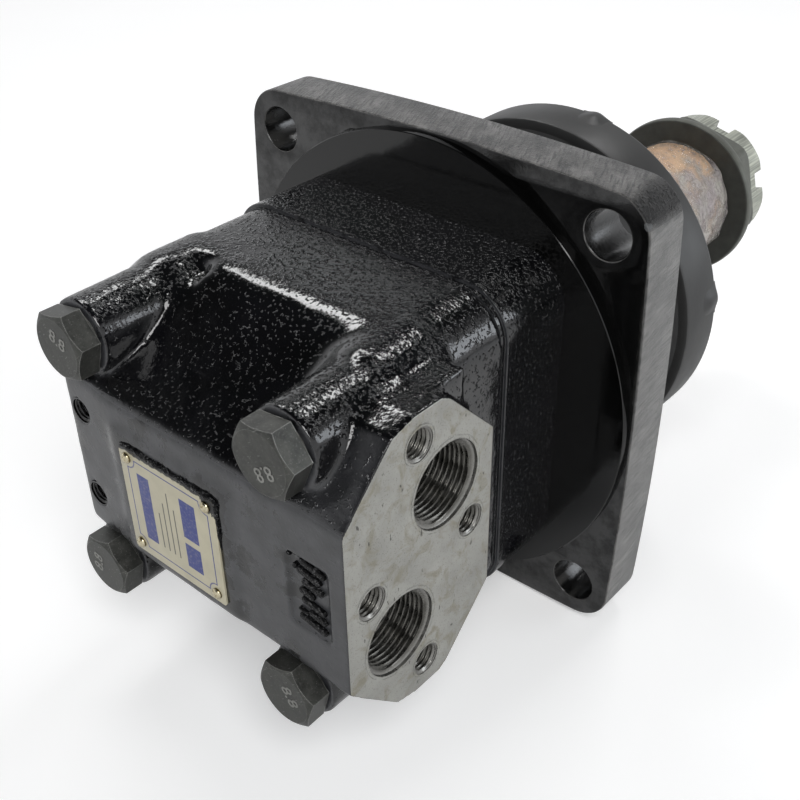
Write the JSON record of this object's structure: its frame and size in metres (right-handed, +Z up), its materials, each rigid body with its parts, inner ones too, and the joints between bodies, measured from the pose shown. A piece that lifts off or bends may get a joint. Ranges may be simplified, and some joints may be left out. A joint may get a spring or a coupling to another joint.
{
  "type": "hydraulic wheel motor",
  "caption": "Orbital hydraulic wheel motor with a square flange, side ports, a tapered roller bearing drum and a wrapped taper shaft with a slotted nut.",
  "frame": {"origin": "on the shaft axis, in the plane of the flange's rear face, which seats on the frame", "axes": "+Y along the shaft, out of the shaft end; +X out of the port face; +Z up, across the port face"},
  "size_m": [0.1746, 0.336, 0.1746],
  "materials": {
    "black_casting": "gloss black paint over a cast surface",
    "ground_steel": "ground",
    "pressed_steel": "pressed sheet",
    "machined_steel": "turned",
    "spring_steel": "drawn wire",
    "seal_rubber": "moulded",
    "nut_steel": "dark oiled",
    "bolt_steel": "dark oiled",
    "washer_alloy": "plain",
    "plate_metal": "printed cream",
    "rivet_brass": "dull",
    "oiled_paper": "oiled paper",
    "clear_film": "clear film"
  },
  "bodies": {
    "housing": {"front_housing": "black_casting", "valve_housing": "black_casting", "wear_plate": "ground_steel", "gear_ring": "ground_steel", "gear_rollers": "ground_steel", "channel_plate": "ground_steel", "balance_plate": "ground_steel", "balance_seal": "seal_rubber", "balance_springs": "spring_steel", "front_bearing_cup": "ground_steel", "rear_bearing_cup": "ground_steel", "seal_carrier": "machined_steel", "carrier_screws": "bolt_steel", "carrier_o_ring": "seal_rubber", "shaft_seal": "seal_rubber", "dust_seal": "seal_rubber", "joint_o_ring": "seal_rubber", "housing_bolts": "bolt_steel", "drain_plug": "bolt_steel", "drain_washer": "washer_alloy", "name_plate": "plate_metal", "plate_rivets": "rivet_brass"},
    "shaft": {"output_shaft": "machined_steel", "shaft_key": "machined_steel", "slotted_nut": "nut_steel", "front_bearing_cone": "ground_steel", "rear_bearing_cone": "ground_steel", "bearing_lock_nut": "machined_steel", "bearing_lock_washer": "pressed_steel", "wrap_paper": "oiled_paper", "wrap_film": "clear_film"},
    "front_roller_set": {"front_bearing_rollers": "ground_steel", "front_bearing_cage": "pressed_steel"},
    "rear_roller_set": {"rear_bearing_rollers": "ground_steel", "rear_bearing_cage": "pressed_steel"},
    "orbit_link": {"cardan_shaft": "machined_steel", "valve_drive": "machined_steel"},
    "star": {"gear_star": "ground_steel"},
    "rotary_valve": {"disc_valve": "ground_steel"}
  },
  "joints": [
    {"name": "shaft_spin", "type": "hinge", "parent": "housing", "child": "shaft", "pos_m": [0, 0, 0], "axis": [0, 1, 0], "continuous": true},
    {"name": "front_rollers_spin", "type": "hinge", "parent": "housing", "child": "front_roller_set", "pos_m": [0, 0.0635, 0], "axis": [0, 1, 0], "continuous": true},
    {"name": "rear_rollers_spin", "type": "hinge", "parent": "housing", "child": "rear_roller_set", "pos_m": [0, -0.0025, 0], "axis": [0, 1, 0], "continuous": true},
    {"name": "star_orbit", "type": "hinge", "parent": "housing", "child": "orbit_link", "pos_m": [0, -0.0465, 0], "axis": [0, 1, 0], "continuous": true},
    {"name": "star_spin", "type": "hinge", "parent": "orbit_link", "child": "star", "pos_m": [0.0032, -0.0465, 0], "axis": [0, 1, 0], "continuous": true},
    {"name": "valve_spin", "type": "hinge", "parent": "housing", "child": "rotary_valve", "pos_m": [0, -0.0755, 0], "axis": [0, 1, 0], "continuous": true}
  ],
  "couplings": [
    {"joint": "front_rollers_spin", "follows": "shaft_spin", "ratio": 0.4436},
    {"joint": "rear_rollers_spin", "follows": "shaft_spin", "ratio": 0.4434},
    {"joint": "star_orbit", "follows": "shaft_spin", "ratio": -6},
    {"joint": "star_spin", "follows": "shaft_spin", "ratio": 7},
    {"joint": "valve_spin", "follows": "shaft_spin", "ratio": 1}
  ]
}
